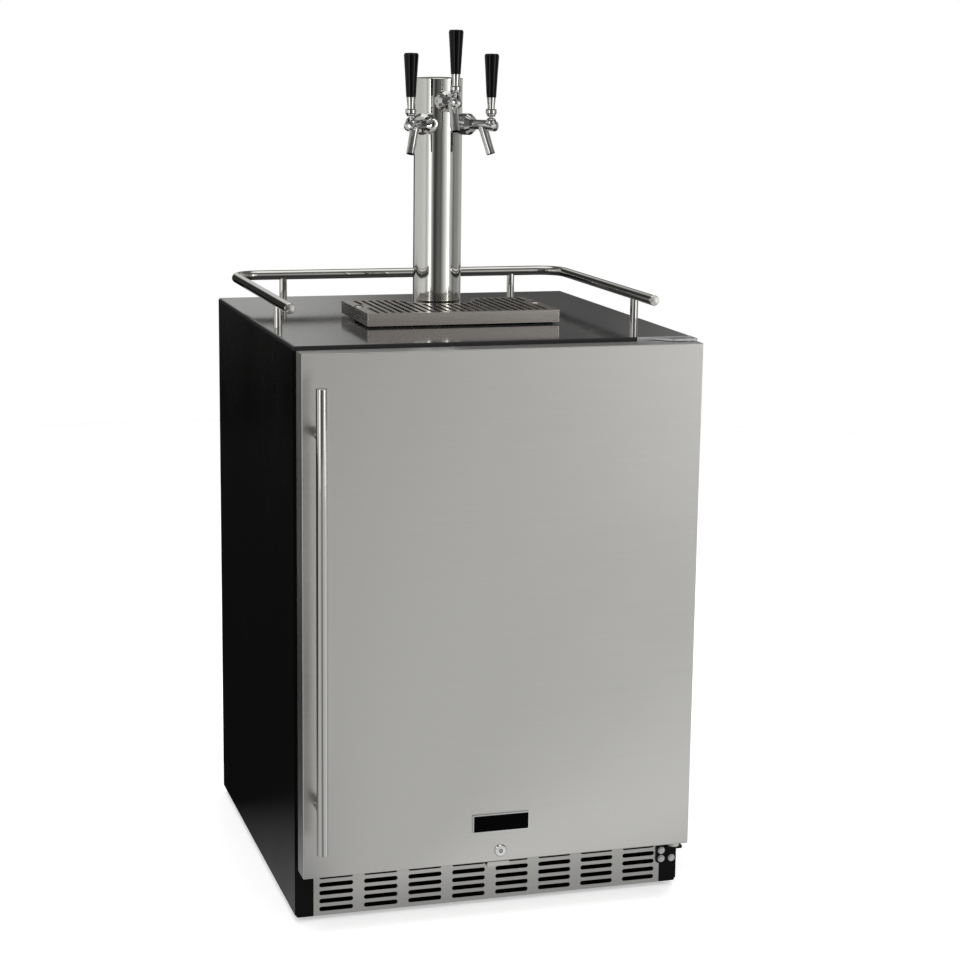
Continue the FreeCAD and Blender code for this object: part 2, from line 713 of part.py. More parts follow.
def smooth_path(points, radius):
    """Straight runs joined by tangent arcs of one radius."""
    edges = []
    last = points[0]
    for before, corner, after in zip(points, points[1:], points[2:]):
        inward, outward = (before - corner).normalize(), (after - corner).normalize()
        half = inward.getAngle(outward) / 2
        reach = radius / math.tan(half)
        start, end = corner + inward * reach, corner + outward * reach
        bisector = (inward + outward).normalize()
        middle = corner + bisector * (radius / math.sin(half) - radius)
        edges += [Part.LineSegment(last, start).toShape(), Part.Arc(start, middle, end).toShape()]
        last = end
    edges.append(Part.LineSegment(last, points[-1]).toShape())
    return Part.Wire(edges)


def beer_lines():
    tubes = []
    for name, side, height in TAPS:
        start = line_start(side, height)
        level = LINE_LEVELS[name]
        corner = Vector(start.x, start.y, level)
        path = smooth_path([start, corner, Vector(LINE_CLIP_X, start.y, level)], LINE_BEND)
        section = Part.Wire(Part.makeCircle(LINE_RADIUS, start, Vector(0, 0, 1)))
        tube = path.makePipeShell([section], True, False)
        print(f"beer line {name}: length {path.Length:.0f}, bend radius {LINE_BEND}, "
              f"volume error {tube.Volume / (path.Length * math.pi * LINE_RADIUS ** 2) - 1:.4f}")
        tubes.append(tube)
    lines = doc.addObject("Part::Feature", "lines")
    lines.Shape = Part.makeCompound(tubes)
    piece("beer_lines", lines)

    wall = -D.cavity_width / 2
    clip = box((wall, wall + 24), (58, 88), (743, 797))
    bores = [rod(LINE_RADIUS + 0.1, "x", (LINE_CLIP_X, wall + 30),
                 (line_start(side, height).y, LINE_LEVELS[name])) for name, side, height in TAPS]
    piece("line_clip", cut(clip, *bores))


# ---------------------------------------------------------------- drip tray

def notch_tool(radius, widen, z):
    """The clearance for the tower: a circle that flares towards the rear edge."""
    flare = doc.addObject("Part::Wedge", "flare")
    y_low, y_high = D.notch_flare_y, D.tray_rear + 1
    half_low, half_high = D.notch - 2 + widen, D.notch_rear_half + widen
    for prop, value in (("Xmin", -half_low), ("Xmax", half_low), ("Ymin", y_low),
                        ("Ymax", y_high), ("Zmin", z[0]), ("Zmax", z[1]), ("X2min", -half_high),
                        ("X2max", half_high), ("Z2min", z[0]), ("Z2max", z[1])):
        bind(flare, prop, value)
    return fuse(rod(radius, "z", z, (0, D.tower_y)), flare)


def drip_tray():
    low = D.cabinet_top + D.tray_pad
    wall = D.tray_wall
    outer = slab((-D.tray_half, D.tray_half), (D.tray_front, D.tray_rear), (low, D.tray_top), 2,
                 lambda edge: along(edge, 0, 0, 1))
    inside = box((wall - D.tray_half, D.tray_half - wall), (D.tray_front + wall,
                 D.tray_rear - wall), (low + wall, D.tray_top + 1))
    well = cut(inside, notch_tool(D.notch + wall, wall, (low, D.tray_top + 2)))
    ledge = D.tray_top - 1.5
    shell = cut(cut(outer, notch_tool(D.notch, 0, (low - 1, D.tray_top + 1))), well)
    rests = [rod(2.5, "z", (low + wall / 2, ledge), (side * D.tray_pitch * 10.5, y))
             for side in (-1, 1) for y in (-60, 70)]
    piece("drip_pan", fuse(shell, *rests))

    pads = [rod(7, "z", (D.cabinet_top, low), (side * 138, y)) for side in (-1, 1)
            for y in (-64, 40)]
    piece("tray_pads", group(*pads))

    gap = wall + 0.4
    plate = new_body()
    sheet_outline = new_sketch(plate, "XY_Plane", ledge)
    rectangle(sheet_outline, (gap - D.tray_half, D.tray_half - gap),
              (D.tray_front + gap, D.tray_rear - gap))
    pad(plate, sheet_outline, 1.5)
    doc.recompute()
    slot_sketch = new_sketch(plate, "XY_Plane", D.tray_top)
    first = D.tray_pitch * -11
    rectangle(slot_sketch, (first - D.tray_slot / 2, first + D.tray_slot / 2),
              (D.tray_front + D.tray_margin, D.tray_rear - D.tray_margin))
    slots = pocket(plate, slot_sketch, 1.5)
    repeat = plate.newObject("PartDesign::LinearPattern", "slots")
    repeat.Originals = [slots]
    repeat.Direction = (slot_sketch, ["H_Axis"])
    repeat.Occurrences = 23
    bind(repeat, "Length", D.tray_pitch * 22)
    plate.Tip = repeat
    level = (ledge, D.tray_top)
    rim = notch_tool(D.notch + D.tray_margin, D.tray_margin - 2, level)
    rim_inside = cut(rim, box((-200, 200), (D.tray_rear - gap, 300), (800, 900)))
    tabs = [box((side * 134 - 6, side * 134 + 6), (D.finger_y - 22, D.finger_y + 22), level)
            for side in (-1, 1)]
    fingers = [rod(D.finger_hole, "z", (800, 900), (side * D.finger_x, D.finger_y))
               for side in (-1, 1)]
    clearance = notch_tool(D.notch + gap, gap, (ledge - 1, D.tray_top + 1))
    rims = [rolled_rim(side) for side in (-1, 1)]
    solid = cut(fuse(plate, rim_inside, *tabs, *rims), *fingers, clearance)
    piece("drip_grille", solid)


def rolled_rim(side):
    """The raised edge round a finger hole."""
    hole = D.finger_hole
    ring = turned([(hole - 1, -1), (hole + 2.6, -1), (hole + 2.6, 0.2), (hole + 1.4, 1.3),
                   (hole + 0.3, 1.5), (hole - 1, 1.5)])
    return move(ring, side * D.finger_x, D.finger_y, D.tray_top)


# ---------------------------------------------------------------- door

def door():
    half = D.door_half
    wall = D.skin

    def front_edge(edge):
        return near(edge.CenterOfMass.y, D.door_front) or along(edge, 0, 1, 0)

    shell = new_body()
    face = new_sketch(shell, "XZ_Plane", -D.door_rear)
    rectangle(face, (-half, half), (D.door_bottom, D.door_top))
    pad(shell, face, D.door_rear - D.door_front)
    fillet(shell, D.skin_round, front_edge)
    inner_x = (wall - half, half - wall)
    inner_z = (D.door_bottom + wall, D.door_top - wall)
    hollow = box(inner_x, (D.door_front + wall, D.door_rear + 1), inner_z)
    pins = [rod(D.hinge_pin + D.fit_gap, "z", (D.door_bottom - 1, D.door_bottom + 14),
                (D.hinge_x, D.hinge_y)),
            rod(D.hinge_pin + D.fit_gap, "z", (D.door_top - 14, D.door_top + 1),
                (D.hinge_x, D.hinge_y))]
    lock_bore = rod(8.1, "y", (D.door_front - 1, D.door_front + 3), (0, D.lock_height))
    cam_slot = box((-6, 24), (-291, -284), (D.door_bottom - 1, D.door_bottom + 3))
    piece("door_skin", cut(shell, hollow, lock_bore, cam_slot, *pins))

    pins_core = [rod(D.hinge_pin + D.fit_gap, "z", (D.door_bottom, D.door_bottom + 14),
                     (D.hinge_x, D.hinge_y)),
                 rod(D.hinge_pin + D.fit_gap, "z", (D.door_top - 14, D.door_top),
                     (D.hinge_x, D.hinge_y))]
    core = box(inner_x, (D.door_front + wall, D.door_rear - 2.5), inner_z)
    cam_room = box((-12, 30), (D.door_front, -281), (D.door_bottom, 134))
    piece("door_core", cut(core, cam_room, *pins_core))

    plate = box(inner_x, (D.door_rear - 2.5, D.door_rear), inner_z)
    raised = D.liner_raise_half
    field = slab((-raised, raised), (D.door_rear, D.door_rear + D.liner_raise), (140, 790), 6,
                 lambda edge: near(edge.CenterOfMass.y, D.door_rear + D.liner_raise))
    recess = box((14 - raised, raised - 14), (D.door_rear + 3, D.door_rear + D.liner_raise + 1),
                 (154, 776))
    piece("door_liner", fuse(plate, cut(field, recess)))

    outer, inner = D.gasket_outer, D.gasket_inner
    width = outer - inner
    thick = (D.door_rear, D.front_face - D.gasket_gap)
    ring = box((-outer, outer), thick, (D.gasket_low, D.gasket_high))
    middle = box((-inner, inner), (D.door_rear - 1, D.front_face),
                 (D.gasket_low + width, D.gasket_high - width))
    piece("door_gasket", cut(ring, middle))


def door_fittings():
    bar_y = D.door_front - D.handle_stand

    length = D.handle_high - D.handle_low
    bar = turned([(0, 0), (D.handle_bore - 0.4, 0), (D.handle_bore, 0.4),
                  (D.handle_bore, length - 0.4), (D.handle_bore - 0.4, length), (0, length)])
    move(bar, D.handle_x, bar_y, D.handle_low)
    posts = []
    for height in (D.handle_low + D.handle_inset, D.handle_high - D.handle_inset):
        posts.append(rod(D.handle_post, "y", (bar_y, D.door_front), (D.handle_x, height)))
        posts.append(rod(D.handle_post + 2, "y", (bar_y + 14, D.door_front),
                         (D.handle_x, height)))
    piece("door_handle", fuse(bar, *posts))

    half = D.plate_half
    depth = D.plate_depth
    plate = new_body()
    outline = new_sketch(plate, "XZ_Plane", -D.door_front)
    rectangle(outline, (-half, half), (D.plate_low, D.plate_high))
    pad(plate, outline, depth)
    fillet(plate, 1.2, lambda edge: along(edge, 0, 1, 0))
    rim = D.plate_rim
    tray = box((rim - half, half - rim), (D.door_front - depth - 1, D.door_front - depth + 0.8),
               (D.plate_low + rim, D.plate_high - rim))
    piece("nameplate", cut(plate, tray))

    housing = turned([(D.lock_plug + D.fit_gap, -9), (8, -9), (8, 0), (D.lock_ring, 0),
                      (D.lock_ring, 1), (D.lock_ring - 1.6, 2.6), (D.lock_plug + D.fit_gap, 2.6)])
    facing = Rotation(Vector(1, 0, 0), 90)
    piece("lock_housing", move(housing, 0, D.door_front, D.lock_height, facing))

    plug = rod(D.lock_plug, "y", (D.door_front - 3, -286.4), (0, D.lock_height))
    keyway = box((-0.7, 0.7), (D.door_front - 4, D.door_front + 2),
                 (D.lock_height - 3, D.lock_height + 3))
    arm = box((0, D.cam_reach), (-289.2, -286.4), (D.lock_height - 4, D.lock_height + 4))
    boss = rod(7, "y", (-289.2, -286.4), (0, D.lock_height))
    piece("lock_cam", cut(fuse(plug, arm, boss), keyway))


# ---------------------------------------------------------------- cooling unit and controls

def cooling_unit():
    shell = turned([(0, 0), (50, 0), (62, 10), (66, 26), (66, 120), (60, 146), (40, 160), (0, 164)])
    move(shell, -150, 274, 34)
    feet_bar = box((-225, -75), (256, 292), (26, 40))
    mounts = [rod(9, "z", (D.cabinet_base + 2, 26), (x, 274)) for x in (-214, -86)]
    terminal = box((-92, -72), (256, 292), (80, 130))
    piece("compressor", fuse(shell, feet_bar, terminal, *mounts))

    block = box((150, 196), (212, 348), (20, 190))
    fins = box((149, 200), (222, 338), (30, 180))
    bars = [box((152, 194), (222, 338), (34 + 12 * k, 36 + 12 * k)) for k in range(12)]
    shroud = cut(box((118, 150), (212, 348), (20, 190)), rod(62, "x", (117, 151), (280, 105)))
    strut = box((112, 118), (275, 285), (25, 185))
    motor = rod(18, "x", (100, 125.4), (280, 105))
    base = box((118, 196), (212, 348), (D.cabinet_base + 2, 20))
    piece("condenser", fuse(cut(block, fins), *bars, shroud, strut, motor, base))
    piece("condenser_fan", fan(58, 16, 5, (134, 280, 105), TURN["x"]))

    cover = box((-130, 130), (272, 312), (560, 740))
    inside = box((-127, 127), (275, 313), (563, 737))
    grille_hole = rod(48, "y", (270, 276), (0, 650))
    cross = [box((-50, 50), (272, 275), (648, 652)), box((-2, 2), (272, 275), (600, 700))]
    hub_disc = rod(18, "y", (272, 275), (0, 650))
    motor_post = rod(14, "y", (298, 312), (0, 650))
    slots = [box((side * 90 - 28, side * 90 + 28), (271, 276), (585 + 14 * k, 590 + 14 * k))
             for side in (-1, 1) for k in range(10)]
    piece("evaporator_cover", fuse(cut(cover, inside, grille_hole, *slots), *cross, hub_disc,
                                   motor_post))
    piece("evaporator_fan", fan(44, 12, 5, (0, 287, 650), TURN["y"]))


def fan(radius, hub, blades, centre, turn):
    """A hub with pitched flat blades, turning about its own local Z axis."""
    pieces = [rod(hub, "z", (-8, 8), (0, 0))]
    for index in range(blades):
        blade = slab((hub - 2, radius), (-13, 13), (-1, 1))
        spin = Rotation(Vector(0, 0, 1), 360 / blades * index)
        blade.Placement = Placement(Vector(), spin.multiply(Rotation(Vector(1, 0, 0), 24)))
        pieces.append(blade)
    return move(fuse(*pieces), *centre, turn)


def controls():
    ceiling = D.cavity_ceiling
    housing = slab((-90, 90), (-222, -150), (ceiling - 30, ceiling), 5,
                   lambda edge: along(edge, 0, 0, 1))
    knob_hole = rod(4.1, "z", (ceiling - 31, ceiling - 14), (50, -186))
    lamp_hole = box((-78, 14), (-212, -160), (ceiling - 31, ceiling - 18))
    piece("control_housing", cut(housing, knob_hole, lamp_hole))
    lens = slab((-77.5, 13.5), (-211.5, -160.5), (ceiling - 33, ceiling - 18), 6,
                lambda edge: along(edge, 0, 0, 1))
    piece("interior_lamp", lens)
    knob = turned([(0, -46), (13, -46), (15, -44), (16, -31), (4, -31), (4, -15), (0, -15)])
    pointer = box((47.8 - 50, 52.2 - 50), (-14, 0), (-47.2, -45))
    dial = fuse(knob, pointer)
    piece("temperature_knob", move(dial, 50, -186, ceiling))

    flange = box((-241, -204), (D.rear_face - D.steel, D.rear_face), (39, 69))
    body = box((-238, -207), (D.rear_face - 30, D.rear_face - D.steel), (42, 66))
    socket = box((-234, -211), (D.rear_face - 18, D.rear_face + 1), (46, 62))
    prongs = [box((x - 1, x + 1), (D.rear_face - 18.5, D.rear_face - 4), (51.5, 56.5))
              for x in (-229, -222.5, -216)]
    piece("power_inlet", fuse(cut(fuse(flange, body), socket), *prongs))


# ---------------------------------------------------------------- build, check, export

def check(thing):
    if set(thing.State) & {"Invalid", "Error"}:
        raise RuntimeError(f"{thing.Label} did not recompute: {thing.State}")


for build in (cabinet_panels, base_frame, insulated_space, vent_grille, feet, hinges, lock_strike,
              guard_rail, tower, shanks_and_nuts, faucets, beer_lines, drip_tray, door,
              door_fittings, cooling_unit, controls):
    build()
doc.recompute()
for thing in doc.Objects:
    check(thing)
whole = FreeCAD.BoundBox()
for node, thing in NODES.items():
    shape = thing.Shape
    if shape.isNull() or not shape.isValid():
        raise RuntimeError(f"{node} has no valid shape")
    whole.add(shape.BoundBox)
    shape.exportStep(f"parts/{node}.step")
print(len(NODES), "sub-parts, box", whole)
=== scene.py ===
"""Kegerator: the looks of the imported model. Metres, Z up, door towards -Y, origin on the floor."""
import math
import random

import bmesh
import bpy
from mathutils import Matrix, Vector


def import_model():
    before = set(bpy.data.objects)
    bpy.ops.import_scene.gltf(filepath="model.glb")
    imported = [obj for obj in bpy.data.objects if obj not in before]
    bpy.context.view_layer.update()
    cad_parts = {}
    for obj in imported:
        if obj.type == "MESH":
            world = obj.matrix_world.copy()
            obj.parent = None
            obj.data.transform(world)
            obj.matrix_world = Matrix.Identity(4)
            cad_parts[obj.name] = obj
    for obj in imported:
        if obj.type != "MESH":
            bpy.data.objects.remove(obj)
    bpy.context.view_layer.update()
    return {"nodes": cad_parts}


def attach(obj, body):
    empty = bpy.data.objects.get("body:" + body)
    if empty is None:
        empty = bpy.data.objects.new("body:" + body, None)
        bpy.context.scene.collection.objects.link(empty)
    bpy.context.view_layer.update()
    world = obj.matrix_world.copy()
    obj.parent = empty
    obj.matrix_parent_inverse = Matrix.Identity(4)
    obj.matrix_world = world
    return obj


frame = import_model()
NODES = frame["nodes"]
rng = random.Random(7)

# ------------------------------------------------------------------ node helpers


def shader_range(tree, source, low, high, out_low, out_high):
    """A number that goes from out_low to out_high as the source goes from low to high."""
    node = tree.nodes.new("ShaderNodeMapRange")
    for key, value in (("From Min", low), ("From Max", high), ("To Min", out_low),
                       ("To Max", out_high)):
        node.inputs[key].default_value = value
    tree.links.new(source, node.inputs["Value"])
    return node.outputs["Result"]


def shader_math(tree, operation, *values):
    """A Math node over numbers and other nodes' outputs."""
    node = tree.nodes.new("ShaderNodeMath")
    node.operation = operation
    for socket, value in zip(node.inputs, values):
        if isinstance(value, (int, float)):
            socket.default_value = value
        else:
            tree.links.new(value, socket)
    return node.outputs["Value"]


def direction_ramp(tree, angle, bands, scale, tint=(1, 1, 1)):
    """Colour by direction round Z. Bands hold up to `scale`, and come out divided by it."""
    ramp = tree.nodes.new("ShaderNodeValToRGB")
    tree.links.new(shader_range(tree, angle, -math.pi, math.pi, 0.0, 1.0), ramp.inputs["Fac"])
    elements = ramp.color_ramp.elements
    while len(elements) < len(bands):
        elements.new(0.5)
    for element, (degrees, grey) in zip(elements, bands):
        element.position = (degrees + 180) / 360
        element.color = (*(grey / scale * part for part in tint), 1)
    return ramp.outputs["Color"]


class Graph:
    """A material's node tree with short ways to add and join nodes."""

    def __init__(self, name):
        self.material = bpy.data.materials.new(name)
        self.material.use_nodes = True
        self.tree = self.material.node_tree
        self.shader = self.tree.nodes["Principled BSDF"]

    def add(self, kind, links=None, **values):
        node = self.tree.nodes.new(kind)
        for key, value in values.items():
            setattr(node, key, value)
        for socket, source in (links or {}).items():
            self.tree.links.new(source, node.inputs[socket])
        return node

    def set(self, **values):
        """Set the shader's own sockets: what is the same all over is never linked."""
        for key, value in values.items():
            self.shader.inputs[key.replace("_", " ")].default_value = value

    def place(self, scale):
        """Object coordinates, stretched: the row's own metres, so they move with the body."""
        coords = self.add("ShaderNodeTexCoord")
        mapping = self.add("ShaderNodeMapping", {"Vector": coords.outputs["Object"]})
        mapping.inputs["Scale"].default_value = scale
        return mapping.outputs["Vector"]

    def noise(self, scale, detail=3.0, stretch=(1, 1, 1), rough=0.5):
        node = self.add("ShaderNodeTexNoise", {"Vector": self.place(stretch)})
        node.inputs["Scale"].default_value = scale
        node.inputs["Detail"].default_value = detail
        node.inputs["Roughness"].default_value = rough
        return node.outputs["Fac"]

    def ramp(self, source, low, high, start=0.3, end=0.7):
        """A number from low to high as the source goes from start to end."""
        return shader_range(self.tree, source, start, end, low, high)

    def colours(self, source, *stops):
        """A colour ramp: stops are (position, (r, g, b))."""
        node = self.add("ShaderNodeValToRGB", {"Fac": source})
        elements = node.color_ramp.elements
        while len(elements) < len(stops):
            elements.new(0.5)
        for element, (position, colour) in zip(elements, stops):
            element.position = position
            element.color = (*colour, 1)
        return node.outputs["Color"]

    def mix(self, factor, one, other):
        """A colour between two, each a tuple or another node's colour."""
        node = self.add("ShaderNodeMix", data_type="RGBA")
        self.tree.links.new(factor, node.inputs[0])
        for index, value in ((6, one), (7, other)):
            if isinstance(value, tuple):
                node.inputs[index].default_value = (*value, 1)
            else:
                self.tree.links.new(value, node.inputs[index])
        return node.outputs[2]

    def add_up(self, one, other, share=1.0):
        """one * share + other."""
        node = self.add("ShaderNodeMath", {0: one}, operation="MULTIPLY_ADD")
        node.inputs[1].default_value = share
        self.tree.links.new(other, node.inputs[2])
        return node.outputs["Value"]

    def bump(self, height, strength, distance):
        node = self.add("ShaderNodeBump", {"Height": height})
        node.inputs["Strength"].default_value = strength
        node.inputs["Distance"].default_value = distance
        self.tree.links.new(node.outputs["Normal"], self.shader.inputs["Normal"])

    def wire(self, **sources):
        for key, source in sources.items():
            self.tree.links.new(source, self.shader.inputs[key.replace("_", " ")])


SCRATCH_STRETCH = 0.012


def brushed(name, colour, along, rough=(0.24, 0.34), grain=900.0, tint=0.05, bump=0.05):
    """Brushed metal: fine scratches along one axis, faint uneven polish."""
    g = Graph(name)
    stretch = tuple(SCRATCH_STRETCH if axis == along else 1.0 for axis in "xyz")
    scratches = g.noise(grain, 2.0, stretch, 0.6)
    cloud = g.noise(3.2, 3.0, (1, 1, 1), 0.55)
    dark = tuple(max(0.0, c * (1 - tint) - 0.005) for c in colour)
    light = tuple(min(1.0, c * (1 + tint)) for c in colour)
    g.wire(Base_Color=g.mix(g.ramp(g.add_up(cloud, scratches, 0.6), 0, 1, 0.45, 1.1), dark, light),
           Roughness=g.add_up(g.ramp(scratches, rough[0], rough[1]), g.ramp(cloud, -0.03, 0.03)))
    g.set(Metallic=1.0)
    g.bump(scratches, bump, 0.00012)
    return g.material


def polished(name, colour, rough=(0.03, 0.09), waves=0.02):
    """Polished metal: near mirror, with smudges in its gloss and a slight ripple."""
    g = Graph(name)
    smudge = g.noise(38.0, 4.0, (1, 1, 0.35), 0.6)
    ripple = g.noise(9.0, 1.0, (1, 1, 0.5))
    g.wire(Base_Color=g.colours(smudge, (0.3, tuple(c * 0.94 for c in colour)), (0.7, colour)),
           Roughness=g.ramp(smudge, rough[0], rough[1]))
    g.set(Metallic=1.0)
    g.bump(ripple, waves, 0.002)
    return g.material


def paint(name, colour, rough, orange=0.08, shine=0.5):
    """Sprayed paint: orange-peel ripple, a little dust and handling wear in the gloss."""
    g = Graph(name)
    peel = g.noise(420.0, 2.0)
    dust = g.noise(6.0, 6.0, (1, 1, 0.6), 0.62)
    dusty = tuple(c * 1.25 for c in colour)
    g.wire(Base_Color=g.colours(dust, (0.25, colour), (0.75, dusty)),
           Roughness=g.add_up(g.ramp(dust, rough[0], rough[1]), g.ramp(peel, -0.015, 0.015)))
    g.set(Specular_IOR_Level=shine)
    g.bump(peel, orange, 0.0003)
    return g.material


def plastic(name, colour, rough=(0.3, 0.42), grain=900.0, depth=0.12, glow=0.0, shine=0.5):
    """Moulded plastic with a fine spark-eroded grain and slight tone drift."""
    g = Graph(name)
    texture = g.noise(grain, 2.0)
    drift = g.noise(7.0, 4.0)
    g.wire(Base_Color=g.colours(drift, (0.3, tuple(c * 0.93 for c in colour)), (0.75, colour)),
           Roughness=g.add_up(g.ramp(texture, rough[0], rough[1]), g.ramp(drift, -0.01, 0.01)))
    g.set(Specular_IOR_Level=shine)
    if glow:
        g.set(Emission_Color=(*colour, 1), Emission_Strength=glow)
    g.bump(texture, depth, 0.00015)
    return g.material


def rubber(name, colour):
    """Matt rubber or hose: fine pores and pale dust."""
    g = Graph(name)
    pores = g.noise(1500.0, 3.0)
    dust = g.noise(24.0, 5.0, rough=0.65)
    g.wire(Base_Color=g.colours(dust, (0.35, colour), (0.8, tuple(c * 1.7 + 0.01 for c in colour))),
           Roughness=g.ramp(dust, 0.55, 0.8))
    g.bump(pores, 0.25, 0.0002)
    return g.material


MATERIALS = {
    "cabinet": paint("black_paint", (0.0022, 0.0021, 0.002), (0.2, 0.28), 0.03, shine=0.1),
    "top": paint("black_top_paint", (0.02, 0.02, 0.021), (0.07, 0.11), 0.012, shine=0.55),
    "frame": paint("black_frame_paint", (0.0025, 0.0025, 0.0025), (0.3, 0.42), shine=0.12),
    "rear": paint("black_rear_paint", (0.008, 0.008, 0.0082), (0.4, 0.55), shine=0.35),
    "door": brushed("door_stainless", (0.64, 0.635, 0.615), "x", (0.3, 0.37), 700.0, 0.025, 0.03),
    "bar": brushed("handle_stainless", (0.62, 0.615, 0.6), "z", (0.06, 0.1), 1500.0, 0.03, 0.008),
    "grille": brushed("vent_stainless", (0.6, 0.595, 0.575), "x", (0.3, 0.4), 900.0, 0.05),
    "tray": brushed("tray_stainless", (0.58, 0.545, 0.51), "x", (0.2, 0.28), 1200.0, 0.06, 0.03),
    "floor_plate": brushed("floor_plate_stainless", (0.55, 0.55, 0.54), "x", (0.28, 0.38)),
    "chrome": polished("chrome_plate", (0.72, 0.72, 0.71), (0.03, 0.06), 0.002),
    "rail": polished("rail_polish", (0.74, 0.73, 0.7), (0.04, 0.065), 0.0),
    "tower": polished("tower_polish", (0.76, 0.76, 0.73), (0.03, 0.06), 0.004),
    "zinc": brushed("zinc_plate", (0.66, 0.67, 0.68), "x", (0.25, 0.4), 1600.0, 0.12),
    "valve": brushed("valve_steel", (0.5, 0.5, 0.49), "y", (0.3, 0.42), 2000.0),
    "grip": plastic("black_gloss_plastic", (0.002, 0.002, 0.0022), (0.05, 0.08), 500.0, 0.005,
                    shine=0.2),
    "white": plastic("white_liner_plastic", (0.78, 0.79, 0.78), (0.28, 0.4), 700.0, 0.06),
    "nylon": plastic("nylon", (0.82, 0.81, 0.77), (0.35, 0.5)),
    "enamel": plastic("nameplate_enamel", (0.0012, 0.0012, 0.0013), (0.16, 0.24), 600.0, 0.01,
                      shine=0.02),
    "black_plastic": plastic("black_moulding", (0.012, 0.012, 0.012), (0.4, 0.55)),
    "rubber": rubber("black_rubber", (0.014, 0.014, 0.014)),
    "hose": rubber("beer_hose", (0.5, 0.48, 0.42)),
    "lamp": plastic("lamp_lens", (0.9, 0.89, 0.82), (0.25, 0.35), 300.0, 0.2, glow=0.25),
    "compressor": paint("compressor_enamel", (0.01, 0.01, 0.011), (0.25, 0.4), 0.2),
    "fins": brushed("condenser_fins", (0.42, 0.42, 0.41), "z", (0.35, 0.5), 1400.0, 0.15),
    "foam": plastic("foam_filler", (0.7, 0.6, 0.35), (0.7, 0.85), 400.0, 0.6),
}

WEARS = {
    "cabinet": ("side_panel_left", "side_panel_right"),
    "top": ("top_panel",),
    "frame": ("front_frame", "base_frame", "bottom_hinge"),
    "rear": ("rear_panel",),
    "door": ("door_skin",),
    "bar": ("door_handle",),
    "grille": ("vent_grille", "lock_strike"),
    "tray": ("drip_pan", "drip_grille"),
    "floor_plate": ("keg_floor_plate",),
    "chrome": ("faucet_shanks", "coupling_nuts", "faucet_body_left", "faucet_body_center",
               "faucet_body_right", "faucet_spout_left", "faucet_spout_center",
               "faucet_spout_right", "lever_left", "lever_center", "lever_right",
               "lock_housing", "lock_cam", "nameplate"),
    "tower": ("tower_column", "tower_cap", "tower_flange"),
    "rail": ("rail_tube", "rail_posts", "rail_end_caps"),
    "zinc": ("top_hinge", "hinge_screws"),
    "valve": ("valve_shaft_left", "valve_shaft_center", "valve_shaft_right"),
    "grip": ("tap_handle_left", "tap_handle_center", "tap_handle_right"),
    "white": ("inner_liner", "door_liner", "evaporator_cover", "control_housing", "line_clip",
              "temperature_knob"),
    "nylon": ("hinge_bushing",),
    "black_plastic": ("power_inlet", "condenser_fan", "evaporator_fan"),
    "rubber": ("rear_feet", "front_foot_left", "front_foot_right", "door_gasket", "tray_pads"),
    "hose": ("beer_lines",),
    "lamp": ("interior_lamp",),
    "compressor": ("compressor",),
    "fins": ("condenser",),
    "foam": ("foam_insulation", "door_core"),
}


def wear():
    """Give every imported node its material."""
    for look, names in WEARS.items():
        for name in names:
            mesh = NODES[name].data
            mesh.materials.clear()
            mesh.materials.append(MATERIALS[look])


# ------------------------------------------------------------------ small pieces over the model

CREASE = math.radians(32)
PANEL_RIM, PANEL_CORNER = 0.0017, 0.0012
# depth behind the rim's face, and how far in from the recess's sides
PANEL_PROFILE = ((0.0009, 0), (0.0004, 0), (0.00022, 0.00012), (0.00015, 0.0004))
LOCK_HEIGHT = 0.1044
# depth behind the plug's face, half width and half height
KEYHOLE_PROFILE = ((0.0004, (0.0027, 0.0033)), (-0.00016, (0.0027, 0.0033)),
                   (-0.0002, (0.0019, 0.0028)), (0.0003, (0.0008, 0.0025)))
SCREW_EDGE, SCREW_POINTS = 0.011, 36
SCREW_SHARES = (0.0, 0.33, 0.67, 1.0)
# radius, distance out of the panel, and whether the ring is a hexagon
SCREW_PROFILE = ((0.0044, -0.0003, False), (0.0044, 0.0007, False), (0.004, 0.0013, False),
                 (0.0032, 0.0018, False), (0.0021, 0.002, False), (0.0017, 0.00195, True),
                 (0.0017, 0.0006, True), (0.0006, 0.0004, True))


def span(node):
    """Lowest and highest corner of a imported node."""
    points = [NODES[node].matrix_world @ Vector(corner) for corner in NODES[node].bound_box]
    return (Vector(min(p[i] for p in points) for i in range(3)),
            Vector(max(p[i] for p in points) for i in range(3)))


def rounded(middle, half, radius, steps=6):
    """Points round a rectangle in x and z with rounded corners."""
    points = []
    for start, (sx, sz) in enumerate(((1, 1), (-1, 1), (-1, -1), (1, -1))):
        for step in range(steps + 1):
            angle = math.radians(90 * (start + step / steps))
            points.append((middle[0] + sx * (half[0] - radius) + radius * math.cos(angle),
                           middle[1] + sz * (half[1] - radius) + radius * math.sin(angle)))
    return points


def loft(bm, rings):
    """Join closed rings of points one after the other and close both ends."""
    rows = [[bm.verts.new(point) for point in ring] for ring in rings]
    count = len(rows[0])
    for near, far in zip(rows, rows[1:]):
        for i in range(count):
            j = (i + 1) % count
            bm.faces.new((near[i], near[j], far[j], far[i]))
    bm.faces.new(rows[0])
    bm.faces.new(rows[-1])


def finish_piece(name, bm, look, body):
    """Turn the mesh into a piece that rides a body and fills a material slot."""
    bmesh.ops.recalc_face_normals(bm, faces=bm.faces)
    mesh = bpy.data.meshes.new(name)
    bm.to_mesh(mesh)
    bm.free()
    mesh.materials.append(MATERIALS[look])
    for face in mesh.polygons:
        face.use_smooth = True
    mesh.set_sharp_from_angle(angle=CREASE)
    item = bpy.data.objects.new(name, mesh)
    bpy.context.collection.objects.link(item)
    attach(item, body)


